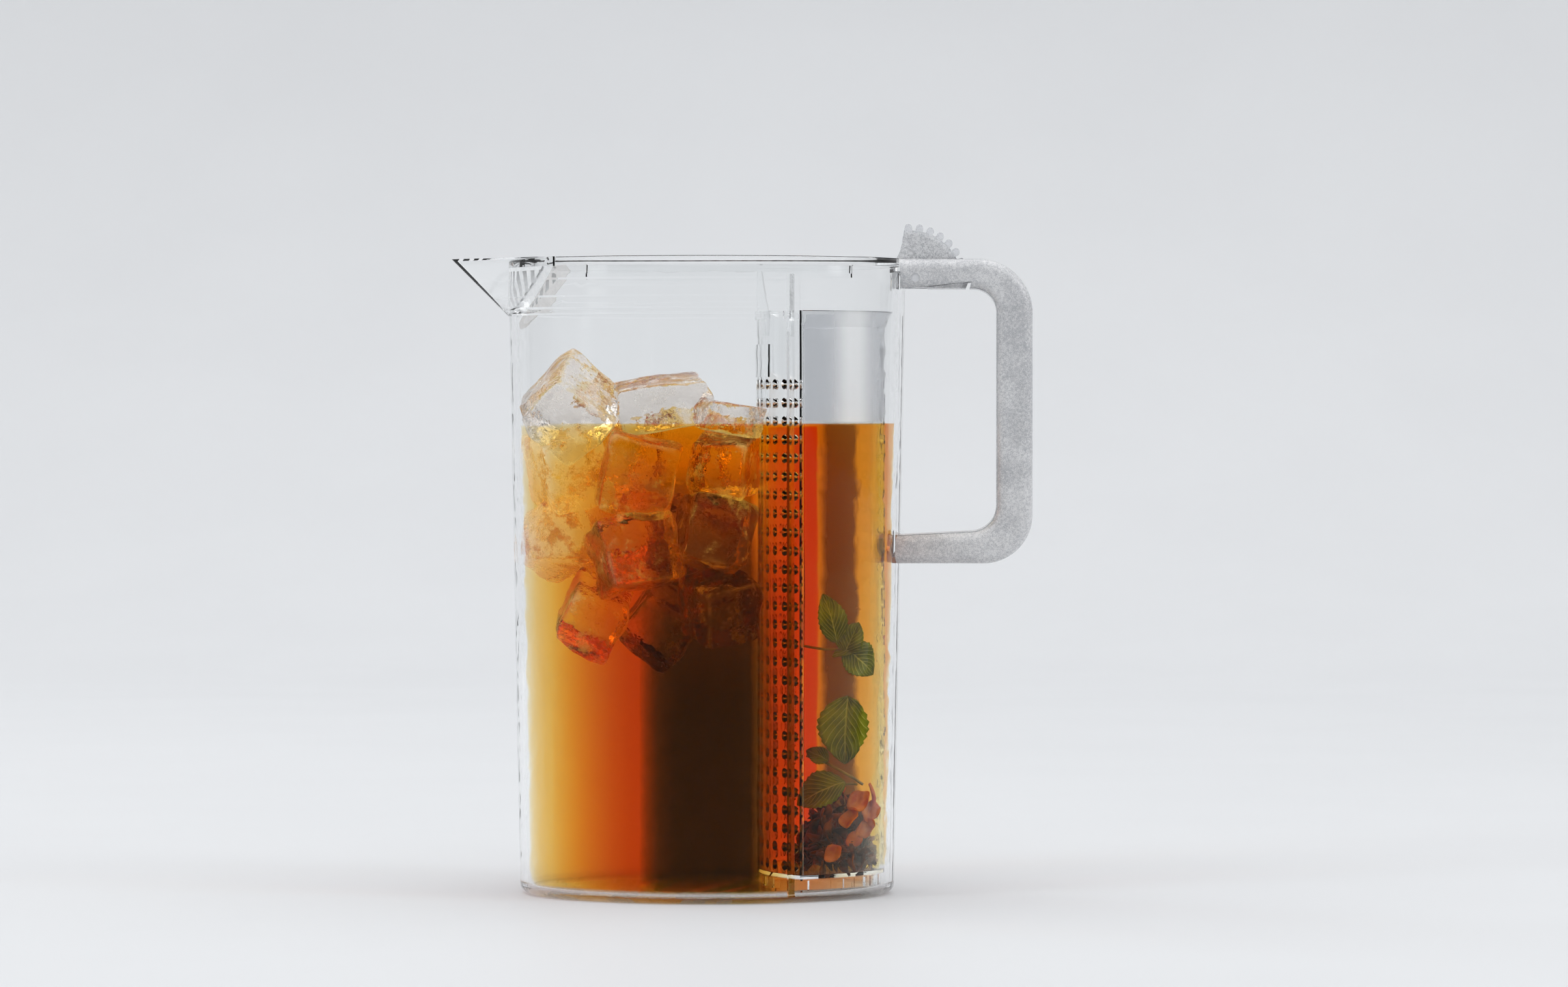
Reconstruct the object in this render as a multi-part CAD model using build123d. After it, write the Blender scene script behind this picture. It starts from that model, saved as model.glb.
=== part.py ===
from build123d import *
import os
from math import atan2, cos, degrees, radians, sin, sqrt

# Iced tea maker: an oval clear jug with a pouring spout, a hinged lid with an ice comb,
# a toothed thumb lever, a hollow handle, and a tall perforated infuser beside the handle.
# Millimetres. Origin: centre of the oval base, on the table. +Z up, +X handle, -X spout.

os.makedirs("parts", exist_ok=True)

# ---- jug wall -------------------------------------------------------------------------
base_half_length = 72.5        # outer half length of the oval at the table
base_half_width = 57.1         # outer half width of the oval at the table
wall_draft = 1.04              # degrees that the wall leans outwards
wall = 3.0                     # wall thickness
floor = 3.0                    # floor thickness
base_round = 4.0               # rounding of the outer bottom edge
inside_round = 2.0             # rounding where the inner wall meets the floor
rim_z = 242.0                  # top of the wall, where the lid rests

# ---- spout ----------------------------------------------------------------------------
spout_over_rim = 3.6           # rim of the spout over the rim of the wall
spout_tall = 22.2              # from where it leaves the wall to its rim
spout_out = 26.7               # tip of the spout beyond the wall's foot
spout_wall = 2.3               # thickness of the spout's sides
spout_tip_round = 2.5          # radius of the keel and tip
spout_step = 0.4               # how far the keel already stands out at its root
rim_step_back = 16.5           # the rim rises to the spout's this far behind the wall's foot
spout_top_z = rim_z + spout_over_rim
spout_root_z = spout_top_z - spout_tall
spout_reach = base_half_length + spout_out
rim_step_x = rim_step_back - base_half_length

# ---- lid ------------------------------------------------------------------------------
lid_over_rim = 3.5             # top of the lid over the wall's rim
lid_gap = 0.2                  # lid plate above the rim
lid_inset = 0.1                # lid edge inside the jug's outer edge
lid_edge_round = 0.5
nose_inset = 1.2               # lid's front edge inside the jug's oval, in the spout
nose_round = 1.4
spout_gap = 0.4                # lid plate to the spout's inner sides
skirt_gap = 0.6                # skirt to the inner wall
skirt_thick = 1.8
skirt_depth = 2.9              # skirt below the rim
skirt_front_inset = 22.5       # the skirt's front ends from the wall's foot
skirt_back_inset = 16.5        # and its back ends
lid_top_z = rim_z + lid_over_rim
skirt_front_x = skirt_front_inset - base_half_length
skirt_back_x = base_half_length - skirt_back_inset

# ---- ice comb -------------------------------------------------------------------------
comb_gap = 0.9                 # comb frame to the inner wall
comb_thick = 1.8
comb_depth = 12.0              # the comb's blank starts this far under the spout's root
comb_band = 1.5                # uncut band of the comb under the lid
comb_side_clear = 8.0          # no slots this near the jug's sides
comb_skirt_gap = 0.5           # comb to the skirt's front ends
comb_frame_low = 3.7           # width of the frame beside the spout's opening, at its foot
comb_frame_high = 2.5          # and under the lid
rib_width = 1.6
rib_pitch = 4.0
rib_pairs = 10                 # ribs on each side of the middle gap
rib_inset = 1.1                # ribs inside the jug's outer surface
rib_clear = 0.9                # ribs to the edge of the spout's opening
rib_side_gap = 0.35            # ribs to the spout's inner sides
slot_reach = 6.2               # the cuts between the ribs reach this far past the comb
edge_points = 6                # straight pieces of the spout opening's edge
edge_over_rim = 2.0

# ---- handle ---------------------------------------------------------------------------
handle_half_width = 13.0
handle_wall = 2.2
handle_round = 4.0
arm_over_rim = 3.4             # top of the upper arm over the wall's rim
arm_thick = 11.5
grip_out = 53.6                # grip's outer side beyond the wall's foot
grip_thick = 14.0
upper_outer_round = 21.0
upper_inner_round = 9.0
lower_outer_round = 19.0
lower_inner_round = 10.0
grip_gap = 94.9                # between the arms, where they meet the wall
low_arm_thick = 11.0           # lower arm, where it meets the wall
low_arm_rise = 1.9             # the lower arm's top climbs this much towards the grip
arm_end_out = 1.8              # the upper arm's end, over the notched rim, from the wall's foot
notch_depth = 1.5              # rim notch under the arm
notch_gap = 0.6                # notch wider than the arm, each side
shell_open = 1.5               # the hollow runs out of the handle's inner side
cover_thick = 1.6              # strip that closes the hollow handle on its inner side
cover_gap = 0.1
cover_fit = 0.3                # strip to the shell's outer walls
cover_cut = 5.0                # no strip under the arm, this far down, up to the lip's end
arm_top_z = rim_z + arm_over_rim
arm_bottom_z = arm_top_z - arm_thick
low_arm_top_z = arm_bottom_z - grip_gap
low_arm_bottom_z = low_arm_top_z - low_arm_thick
grip_outer_x = base_half_length + grip_out
arm_end_x = base_half_length + arm_end_out
notch_z = rim_z - notch_depth

# ---- hinge and thumb lever ------------------------------------------------------------
pin_out = 8.4                  # pin beyond the wall's foot
pin_drop = 7.3                 # and below the top of the arm
pin_radius = 1.7
pin_press_gap = 0.02           # pin in the handle's cheeks
pin_run_gap = 0.06             # pin in the lever's hub
pin_recess = 0.4               # pin ends below the cheeks
hub_radius = 3.6
hub_side_gap = 0.15            # hub to the bosses
boss_radius = 3.2
lever_half_width = 7.8
slot_gap = 0.7                 # lever to the slot in the arm's top, each side
slot_end_gap = 1.0             # swing of the first tooth to the end of the slot
sector_shift = 1.8             # centre of the toothed arc in front of the pin
sector_drop = 1.6              # and below it
tooth_tip_radius = 22.4
tooth_width = 2.7
tooth_height = 2.6
tooth_count = 7
tooth_first = 92.6             # degrees above +X
tooth_last = 22.2
lever_front_top = 4.1          # front face of the lever, at the first tooth, from the pin
lever_front_foot = 7.5         # and where it meets the lid
lever_front_points = ((1.3, 2.4), (2.2, 5.7))  # hollow curve of the front face, from its foot
lever_front_rise = 1.2         # top of the front face above the teeth's root
arc_before_first = 2.0         # degrees of bare arc before the first tooth
arc_after_last = 6.0           # and after the last
block_gap = 0.45               # lever's block over the notched rim
lever_skin = 1.5               # wall of the hollow sector
hollow_skin = 1.0              # hollow to the front face, to the lid's level and to the lip
tail_start = 4.2               # hollow behind the hub, from the pin
tail_lean = 1.0
tail_skin = 1.2                # its top above the lid's level
tail_shoulder = 5.2            # its top ends this far before the lip's end
tail_drop = 3.0                # and slopes down by this and the top's height
tail_past = 5.0                # it runs out of the open back
lip_start = 4.7                # lip that closes the arm's underside, from the pin
lip_start_thick = 0.6
lip_end = 19.3
lip_end_thick = 2.5
lip_past = 1.0                 # the lip's opening runs past the arm's underside
lip_lean = 1.0                 # the lip's end leans out by this much over its thickness
lip_side_gap = 0.25            # lip to the cheeks above it
slit = 1.3                     # open slit behind the lip
tongue_half_width = 5.5        # the lid's tongue in the lever's socket
tongue_thick = 2.4
tongue_gap = 0.05
tongue_root = 2.0              # inside the lid's cut-out
tongue_end = 1.6               # ends this far before the pin
lid_notch_gap = 1.5            # lid cut-out to the arm, each side
lid_notch_inset = 0.5          # lid cut-out inside the wall's foot
pin_x = base_half_length + pin_out
pin_z = arm_top_z - pin_drop
sector_x = pin_x - sector_shift
sector_z = pin_z - sector_drop
lever_front_top_x = pin_x - lever_front_top
lever_front_foot_x = pin_x - lever_front_foot
lip_start_x = pin_x + lip_start
lip_end_x = pin_x + lip_end
lid_notch_x = base_half_length - lid_notch_inset

# ---- infuser --------------------------------------------------------------------------
infuser_wall = 1.5
infuser_gap = 0.7              # its back follows the jug's inside
infuser_deep = 53.0            # crown of the bulging front, from the wall's foot
infuser_front_radius = 66.5
infuser_below_rim = 17.0       # top of the rear shell below the rim
infuser_foot = 7.4             # height of the windowed foot ring
infuser_floor = 1.5
seam_back = 18.5               # front screen and rear shell meet behind the crown
seam_gap = 0.05
rim_flare = 3.2                # rear rim flares out by this much
rim_flare_height = 6.2
bead_height = 3.0
bead_out = 0.8
hole_pitch_z = 7.05
hole_pitch_s = 7.2             # along the bulging front
hole_rows = 27
hole_columns = 14
hole_drop = 2.8                # top row of holes below the blank plate
dimple_radius = 1.9
pinhole_radius = 0.5
back_hole_angle = 6.5          # degrees, two columns of holes at the handle end
plate_drop = 12.7              # raised blank plate above the holes, below the infuser's top
plate_tall = 12.5
plate_half_arc = 28.0
plate_out = 0.6
window_count = 9               # windows in each half of the foot ring
window_width = 6.0
window_height = 4.0
window_low = 1.2               # windows start this far above the ring's foot
foot_gap = 0.05                # foot ring above the jug's floor
foot_inset = 1.2               # foot ring inside the infuser's outline
guide_x = 33.65                # guide ribs of the jug, in front of the seam
guide_thick = 2.7
guide_in_y = 44.6
guide_top_gap = 0.5            # guide ribs end below the skirt
grip_thick_foot = 4.4
grip_thick_top = 1.6
grip_half_width = 9.0
grip_top_gap = 1.2             # grip tab to the lid
grip_tongue = 9.0              # the tab's tongue inside the screen
grip_set_back = 0.1            # tab behind the screen's crown
grip_waist = 0.62              # thickness half way up, as a part of the foot's
grip_round = 0.6

# ---- lugs that hold the handle --------------------------------------------------------
ear_thick = 2.4
ear_gap = 0.1                  # ear to the arm
ear_out = 4.7                  # ears reach beyond the wall's foot
ear_under = 0.4                # ears below the arm
ear_notch = 0.5                # ears below the rim's notch
low_ear_rise = 1.8             # lower ears above the lower arm
low_ear_depth = 8.2            # and below its top
low_ear_back = 3.2             # their underside slopes back into the wall
low_ear_short = 0.2            # they reach less far than the upper ones
low_ear_step = 0.1
lug_half_width = 8.0
lug_out = 12.5                 # the lug reaches beyond the wall's foot
lug_gap = 0.4                  # lug to the lower arm's inside

start_inset = 12.5             # ears and arms are started this far inside the wall's foot
weld = 0.2                     # pieces of one solid run into each other by this
past = 1.0                     # cutting solids run past the faces they cut by this
BIG = 400.0
draft_rate = sin(radians(wall_draft)) / cos(radians(wall_draft))
inside_x = base_half_length - start_inset
grip_inner_x = grip_outer_x - grip_thick
ear_reach = base_half_length + ear_out
lug_reach = base_half_length + lug_out
infuser_half_length = base_half_length - wall - infuser_gap
infuser_half_width = base_half_width - wall - infuser_gap
infuser_front_x = base_half_length - infuser_deep
infuser_top_z = rim_z - infuser_below_rim
plate_top_z = infuser_top_z - plate_drop
plate_bottom_z = plate_top_z - plate_tall
hole_top_z = plate_bottom_z - hole_drop
seam_x = infuser_front_x + seam_back
spout_slope = (spout_reach - base_half_length - draft_rate * spout_root_z - spout_step)
spout_slope = spout_slope / (spout_top_z - spout_root_z)
spout_back = spout_wall * sqrt(1 + spout_slope ** 2)
plate_under_z = rim_z + lid_gap
lever_side = lever_half_width + slot_gap
cheek_in = handle_half_width - handle_wall


def half_length(z):
    return base_half_length + draft_rate * z


def half_width(z):
    return base_half_width + draft_rate * z


def reach(z):
    """Outer tip of the spout at height z, measured from the jug's axis."""
    root = half_length(spout_root_z) + spout_step
    return root + spout_slope * (z - spout_root_z)


def oval(a, b, z):
    return Plane.XY.offset(z) * Ellipse(a, b)


def teardrop(a, b, tip, r, z):
    """Oval with a spout: tangent lines from a small tip arc to the oval."""
    c = tip - r
    k = c * c - a * a + b * b
    cos_t = (sqrt(c * c * r * r - k * (r * r - b * b)) - c * r) / k
    sin_t = sqrt(1 - cos_t ** 2)
    h = sqrt(a * a * cos_t ** 2 + b * b * sin_t ** 2)
    on_tip = Vector(-c - r * cos_t, r * sin_t, z)
    on_oval = Vector(-a * a * cos_t / h, b * b * sin_t / h, z)
    low_tip = Vector(on_tip.X, -on_tip.Y, z)
    low_oval = Vector(on_oval.X, -on_oval.Y, z)
    start = degrees(atan2(-sin_t * b / h, -cos_t * a / h))
    nose = ThreePointArc(on_tip, Vector(-tip, 0, z), low_tip)
    side = Line(low_tip, low_oval)
    body = Plane.XY.offset(z) * EllipticalCenterArc((0, 0), a, b, start, arc_size=-2 * start)
    back = Line(on_oval, on_tip)
    return make_face([nose, side, body, back])


def slab(x0, x1, y0, y1, z0, z1):
    """Box between two corners."""
    size = Box(x1 - x0, y1 - y0, z1 - z0)
    return Pos((x0 + x1) / 2, (y0 + y1) / 2, (z0 + z1) / 2) * size


def side_prism(points, half):
    """Closed outline in the XZ plane, extruded to both sides of the middle plane."""
    outline = [Vector(x, 0, z) for x, z in points]
    face = make_face(Polyline(*outline, close=True))
    return extrude(face, amount=half, dir=(0, 1, 0), both=True)


def disc_y(x, z, radius, half):
    """Cylinder along Y through (x, z)."""
    return Pos(x, 0, z) * Rot(90, 0, 0) * Cylinder(radius, 2 * half)


def both_sides(solid):
    return solid + mirror(solid, about=Plane.XZ)


# ---- jug ------------------------------------------------------------------------------
def spout_stack(thin, back, tip_round, z0, z1):
    """Upper part of the jug as stacked teardrop sections."""
    parts_of_height = (0.0, 0.1, 0.3, 0.6, 1.0)
    sections = []
    for part in parts_of_height:
        z = z0 + part * (z1 - z0)
        sections.append(teardrop(half_length(z) - thin, half_width(z) - thin,
                                 reach(z) - back, tip_round, z))
    return loft(sections, ruled=True)


inner_tip_round = 0.8
inner_root_z = spout_root_z + (spout_back - wall + spout_step) / spout_slope


def jug_inside():
    low = loft([oval(half_length(floor) - wall, half_width(floor) - wall, floor),
                oval(half_length(inner_root_z) - wall, half_width(inner_root_z) - wall,
                     inner_root_z)], ruled=True)
    low = fillet(low.edges().group_by(Axis.Z)[0], inside_round)
    high = spout_stack(wall, spout_back, inner_tip_round, inner_root_z, spout_top_z + past)
    return low + high


def upper_ears():
    half = ear_thick / 2
    y = handle_half_width + ear_gap + half
    top = notch_z - ear_notch
    low = arm_bottom_z - ear_under
    outline = [(inside_x, top), (arm_end_x, top), (ear_reach, low), (inside_x, low)]
    return both_sides(Pos(0, y, 0) * side_prism(outline, half))


def lower_ears():
    half = ear_thick / 2
    y = handle_half_width + ear_gap + half
    top = low_arm_top_z
    wall_x = half_length(top)
    outline = [(inside_x, top + low_ear_rise), (wall_x, top + low_ear_rise),
               (ear_reach - low_ear_short, top - low_ear_step),
               (wall_x - low_ear_back, top - low_ear_depth), (inside_x, top - low_ear_depth)]
    return both_sides(Pos(0, y, 0) * side_prism(outline, half))


def lower_lug():
    inset = handle_wall + lug_gap
    low = low_arm_bottom_z + inset
    high = low_arm_top_z - cover_thick - lug_gap
    return slab(inside_x, lug_reach, -lug_half_width, lug_half_width, low, high)


def guide_ribs():
    """Upright ribs that keep the infuser at the handle end, cut to the leaning wall."""
    x0 = guide_x - guide_thick / 2
    x1 = guide_x + guide_thick / 2
    top = rim_z - skirt_depth - guide_top_gap
    rib = slab(x0, x1, guide_in_y, half_width(rim_z), floor - weld, top)
    return both_sides(rib & jug_outer)


def make_jug_outer():
    low = loft([oval(base_half_length, base_half_width, 0),
                oval(half_length(spout_root_z), half_width(spout_root_z), spout_root_z)],
               ruled=True)
    low = fillet(low.edges().group_by(Axis.Z)[0], base_round)
    high = spout_stack(0, 0, spout_tip_round, spout_root_z, spout_top_z)
    return low + high


def make_jug():
    solid = jug_outer + upper_ears() + lower_ears() + lower_lug()
    solid -= jug_inside()
    solid -= slab(rim_step_x, BIG, -BIG, BIG, rim_z, BIG)
    gap_half = handle_half_width + notch_gap
    solid -= slab(inside_x, BIG, -gap_half, gap_half, notch_z, BIG)
    solid += guide_ribs()
    return solid


# ---- handle ---------------------------------------------------------------------------
low_arm_slope = low_arm_rise / (grip_inner_x - half_length(low_arm_top_z))


def handle_outline(outer_inset, inner_inset, left):
    """C-shaped side view of the handle, inset from its outer and inner edges."""
    top = arm_top_z - outer_inset
    right = grip_outer_x - outer_inset
    bottom = low_arm_bottom_z + outer_inset
    under = arm_bottom_z + inner_inset
    grip_x = grip_inner_x + inner_inset
    wall_x = half_length(low_arm_top_z)
    low_left = low_arm_top_z - inner_inset + low_arm_slope * (left - wall_x)
    low_right = low_arm_top_z - inner_inset + low_arm_slope * (grip_x - wall_x)
    outer_rounds = [upper_outer_round - outer_inset, lower_outer_round - outer_inset]
    inner_rounds = [lower_inner_round + inner_inset, upper_inner_round + inner_inset]
    outside = FilletPolyline((left, 0, top), (right, 0, top), (right, 0, bottom),
                             (left, 0, bottom), radius=outer_rounds)
    end_low = Line((left, 0, bottom), (left, 0, low_left))
    inside = FilletPolyline((left, 0, low_left), (grip_x, 0, low_right), (grip_x, 0, under),
                            (left, 0, under), radius=inner_rounds)
    end_high = Line((left, 0, under), (left, 0, top))
    return make_face([*outside.edges(), end_low, *inside.edges(), end_high])


def handle_prism(outer_inset, inner_inset, left, half):
    face = handle_outline(outer_inset, inner_inset, left)
    return extrude(face, amount=half, dir=(0, 1, 0), both=True)


def make_handle_block():
    block = handle_prism(0, 0, inside_x, handle_half_width)
    sides = block.faces().sort_by(Axis.Y)
    return fillet(sides[0].edges() + sides[-1].edges(), handle_round)


def lip_outline(gap):
    """Side view of the lever's lip; with a gap, the opening that it swings out of."""
    low = arm_bottom_z - (lip_past if gap else 0.0)
    behind = slit if gap else 0.0
    return [(lip_start_x - gap, low), (lip_end_x + behind, low),
            (lip_end_x + lip_lean + behind, arm_bottom_z + lip_end_thick + gap),
            (lip_start_x - gap, arm_bottom_z + lip_start_thick + gap)]


first_tooth_x = sector_x + tooth_tip_radius * cos(radians(tooth_first)) - pin_x
first_tooth_z = sector_z + tooth_tip_radius * sin(radians(tooth_first)) - pin_z
swing_radius = sqrt(first_tooth_x ** 2 + first_tooth_z ** 2)
slot_end_x = pin_x + sqrt(swing_radius ** 2 - (arm_top_z - pin_z) ** 2) + slot_end_gap


def make_handle_shell():
    shell = handle_block - handle_prism(handle_wall, -shell_open, inside_x, cheek_in)
    boss_in = lever_half_width + hub_side_gap
    boss = disc_y(pin_x, pin_z, boss_radius, handle_half_width) & handle_block
    shell += boss - slab(-BIG, BIG, -boss_in, boss_in, -BIG, BIG)
    shell -= slab(inside_x, slot_end_x, -lever_side, lever_side, arm_top_z - 2 * handle_wall, BIG)
    shell -= side_prism(lip_outline(lip_side_gap), BIG)
    shell -= disc_y(pin_x, pin_z, pin_radius + pin_press_gap, BIG)
    shell -= slab(-BIG, arm_end_x, -BIG, BIG, notch_z, BIG)
    shell -= jug_outer & slab(0, BIG, -BIG, BIG, 0, notch_z)
    return shell


def make_inner_cover():
    half = cheek_in - cover_gap
    strip = handle_prism(handle_wall + cover_fit, 0, inside_x, half)
    strip -= handle_prism(0, cover_thick, inside_x - past, BIG)
    strip -= slab(-BIG, lip_end_x, -BIG, BIG, arm_bottom_z - cover_cut, BIG)
    strip -= side_prism(lip_outline(lip_side_gap), BIG)
    return strip - jug_outer


def make_pin():
    return disc_y(pin_x, pin_z, pin_radius, handle_half_width - pin_recess)


# ---- thumb lever ----------------------------------------------------------------------
def arc_point(radius, angle):
    turn = radians(angle)
    return (sector_x + radius * cos(turn), sector_z + radius * sin(turn))


def tooth(angle):
    """One rounded tooth across the lever's width."""
    radius = tooth_width / 2
    half = lever_half_width
    x, z = arc_point(tooth_tip_radius - radius, angle)
    middle = tooth_tip_radius - radius - tooth_height / 2
    stem = Pos(middle, 0, 0) * Box(tooth_height, 2 * half, tooth_width)
    turned = Pos(sector_x, 0, sector_z) * Rot(0, -angle, 0) * stem
    return turned + disc_y(x, z, radius, half)


def sector_blank():
    """Side view of the lever without teeth: front face, toothed arc, lip, hub side."""
    root = tooth_tip_radius - tooth_height
    block_low = notch_z + block_gap
    hub_left = pin_x - hub_radius
    foot_x = lever_front_foot_x
    curve = [(foot_x + x, 0, lid_top_z + z) for x, z in lever_front_points]
    front = Spline((foot_x, 0, lid_top_z), *curve,
                   (lever_front_top_x, 0, sector_z + root + lever_front_rise))
    arc_start = arc_point(root, tooth_first + arc_before_first)
    arc_mid = arc_point(root, (tooth_first + tooth_last) / 2)
    arc_end = arc_point(root, tooth_last - arc_after_last)
    shoulder = Line(front @ 1, (arc_start[0], 0, arc_start[1]))
    rim = ThreePointArc((arc_start[0], 0, arc_start[1]), (arc_mid[0], 0, arc_mid[1]),
                        (arc_end[0], 0, arc_end[1]))
    tail = Polyline((arc_end[0], 0, arc_end[1]),
                    (lip_end_x + lip_lean, 0, arm_bottom_z + lip_end_thick),
                    (lip_end_x, 0, arm_bottom_z), (lip_start_x, 0, arm_bottom_z),
                    (lip_start_x, 0, pin_z - hub_radius), (pin_x, 0, pin_z - hub_radius),
                    (pin_x, 0, pin_z), (hub_left, 0, pin_z), (hub_left, 0, block_low),
                    (foot_x, 0, block_low), (foot_x, 0, lid_top_z))
    face = make_face([front, shoulder, rim, *tail.edges()])
    return extrude(face, amount=lever_half_width, dir=(0, 1, 0), both=True)


def make_lever():
    root = tooth_tip_radius - tooth_height
    solid = sector_blank()
    step = (tooth_last - tooth_first) / (tooth_count - 1)
    for number in range(tooth_count):
        solid += tooth(tooth_first + number * step)
    solid += disc_y(pin_x, pin_z, hub_radius, lever_half_width)
    solid += side_prism(lip_outline(0.0), handle_half_width) & handle_block
    inner_half = lever_half_width - lever_skin
    hollow = disc_y(sector_x, sector_z, root - lever_skin, inner_half)
    hollow &= slab(lever_front_top_x + hollow_skin, BIG, -BIG, BIG, lid_top_z + hollow_skin, BIG)
    open_end = lip_end_x + tail_past
    low = arm_bottom_z + lip_end_thick + hollow_skin
    high = lid_top_z + tail_skin
    start = pin_x + tail_start
    hollow += side_prism([(start, high), (start + tail_lean, low), (open_end, low),
                          (open_end, lid_top_z - tail_drop),
                          (lip_end_x - tail_shoulder, high)], inner_half)
    solid -= hollow
    solid -= disc_y(pin_x, pin_z, pin_radius + pin_run_gap, BIG)
    return solid - tongue(tongue_gap)


# ---- lid ------------------------------------------------------------------------------
def tongue(gap):
    """The lid's tongue; with a gap, the lever's socket for it."""
    half = tongue_half_width + gap
    return slab(lid_notch_x - tongue_root, pin_x - tongue_end, -half, half,
                plate_under_z - gap, plate_under_z + tongue_thick + gap)


def make_lid():
    z = rim_z
    a = half_length(z)
    b = half_width(z)
    edge = oval(a - lid_inset, b - lid_inset, plate_under_z)
    inner_b = b - wall - spout_gap
    mouth = teardrop(a - wall - spout_gap, inner_b, reach(z) - spout_back - spout_gap,
                     inner_tip_round, plate_under_z)
    thick = lid_top_z - plate_under_z
    plate = extrude(edge, amount=thick)
    plate = fillet(plate.edges().group_by(Axis.Z)[-1], lid_edge_round)
    nose = extrude(oval(a - nose_inset, b - nose_inset, plate_under_z), amount=thick)
    nose = fillet(nose.edges().group_by(Axis.Z)[-1], nose_round)
    step_x = rim_step_x + spout_gap
    plate -= slab(-BIG, step_x, -BIG, BIG, 0, BIG)
    plate += nose & extrude(mouth, amount=thick) & slab(-BIG, step_x, -BIG, BIG, 0, BIG)
    notch_half = handle_half_width + lid_notch_gap
    plate -= slab(lid_notch_x, BIG, -notch_half, notch_half, 0, BIG)
    skirt_out = wall + skirt_gap
    skirt_in = skirt_out + skirt_thick
    skirt_low = rim_z - skirt_depth
    ring = extrude(oval(a - skirt_out, b - skirt_out, skirt_low)
                   - oval(a - skirt_in, b - skirt_in, skirt_low),
                   amount=skirt_depth + lid_gap + weld)
    ring &= slab(skirt_front_x, skirt_back_x, -BIG, BIG, 0, BIG)
    return plate + ring + tongue(0.0)


# ---- ice comb -------------------------------------------------------------------------
def opening_edge(offset_low, offset_high):
    """Side view of the edge where the spout leaves the inner wall, offset downwards."""
    points = []
    top = rim_z + edge_over_rim
    for number in range(edge_points + 1):
        z = inner_root_z + (top - inner_root_z) * number / edge_points
        a = half_length(z) - wall
        tip = reach(z) - spout_back
        points.append((-a * a / tip, z))
    shifted = []
    for number, (x, z) in enumerate(points):
        before = points[max(number - 1, 0)]
        after = points[min(number + 1, edge_points)]
        run_x = after[0] - before[0]
        run_z = after[1] - before[1]
        run = sqrt(run_x ** 2 + run_z ** 2)
        offset = offset_low + (offset_high - offset_low) * number / edge_points
        shifted.append((x + offset * run_z / run, z - offset * run_x / run))
    return shifted


def above_edge(offset_low, offset_high):
    """Prism over everything above the opening's edge, on the spout's side of it."""
    edge = opening_edge(offset_low, offset_high)
    low_x, low_z = edge[0]
    slope = (edge[1][1] - low_z) / (edge[1][0] - low_x)
    start = (-BIG, low_z + slope * (-BIG - low_x))
    return side_prism([start, *edge, (edge[-1][0], BIG), (-BIG, BIG)], BIG)


def make_comb():
    a = half_length(spout_root_z)
    b = half_width(spout_root_z)
    low = spout_root_z - comb_depth
    tall = plate_under_z - low
    back = wall + comb_gap
    inner = oval(a - back - comb_thick, b - back - comb_thick, low)
    frame = extrude(oval(a - back, b - back, low) - inner, amount=tall)
    frame &= above_edge(comb_frame_low, comb_frame_high)
    ribs = extrude(oval(a - rib_inset, b - rib_inset, low) - inner, amount=tall)
    ribs &= above_edge(-rib_clear, -rib_clear)
    ribs &= spout_stack(wall + rib_side_gap, spout_back + rib_side_gap, inner_tip_round,
                        inner_root_z, spout_top_z)
    end_x = skirt_front_x - comb_skirt_gap
    blank = (frame + ribs) & slab(-BIG, end_x, -BIG, BIG, 0, plate_under_z)
    slot_width = rib_pitch - rib_width
    slot_deep = 2 * (comb_thick + slot_reach)
    slot_tall = tall + past
    slots = []
    for number in range(-rib_pairs, rib_pairs + 1):
        y = number * rib_pitch
        if abs(y) > b - comb_side_clear:
            continue
        x = -(a - back) * sqrt(1 - (y / (b - back)) ** 2)
        normal = degrees(atan2(y / (b - back) ** 2, x / (a - back) ** 2))
        cut = Box(slot_deep, slot_width, slot_tall)
        slot_z = plate_under_z - comb_band - slot_tall / 2
        slots.append(Pos(x, y, slot_z) * Rot(0, 0, normal) * cut)
    slot_set = Part() + slots
    return blank - (slot_set & above_edge(-weld, -weld))


# ---- infuser --------------------------------------------------------------------------
infuser_low_z = floor + infuser_foot
front_centre_x = infuser_front_x + infuser_front_radius


def infuser_face(inset, z):
    """D-shaped outline: oval back, bulging front."""
    back = Ellipse(infuser_half_length - inset, infuser_half_width - inset)
    front = Pos(front_centre_x, 0) * Circle(infuser_front_radius - inset)
    return Plane.XY.offset(z) * (back & front)


def infuser_tube():
    tall = infuser_top_z - infuser_low_z
    outside = extrude(infuser_face(0, infuser_low_z), amount=tall)
    hollow = infuser_face(infuser_wall, infuser_low_z - past)
    return outside - extrude(hollow, amount=tall + 2 * past)


def front_spot(arc, out):
    """Point of the front's outer surface at that arc length, and its outward heading."""
    turn = arc / infuser_front_radius
    radius = infuser_front_radius + out
    return (front_centre_x - radius * cos(turn), radius * sin(turn), 180 - degrees(turn))


def dimple(x, y, z, heading):
    """Cone from a wide mouth outside to a pinhole inside, lying along the heading."""
    rate = (dimple_radius - pinhole_radius) / infuser_wall
    length = infuser_wall + 2 * weld
    cone = Cone(pinhole_radius, dimple_radius + rate * weld, length)
    place = Pos(x, y, z) * Rot(0, 0, heading) * Pos(weld - length / 2, 0, 0)
    return place * Rot(0, 90, 0) * cone


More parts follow.
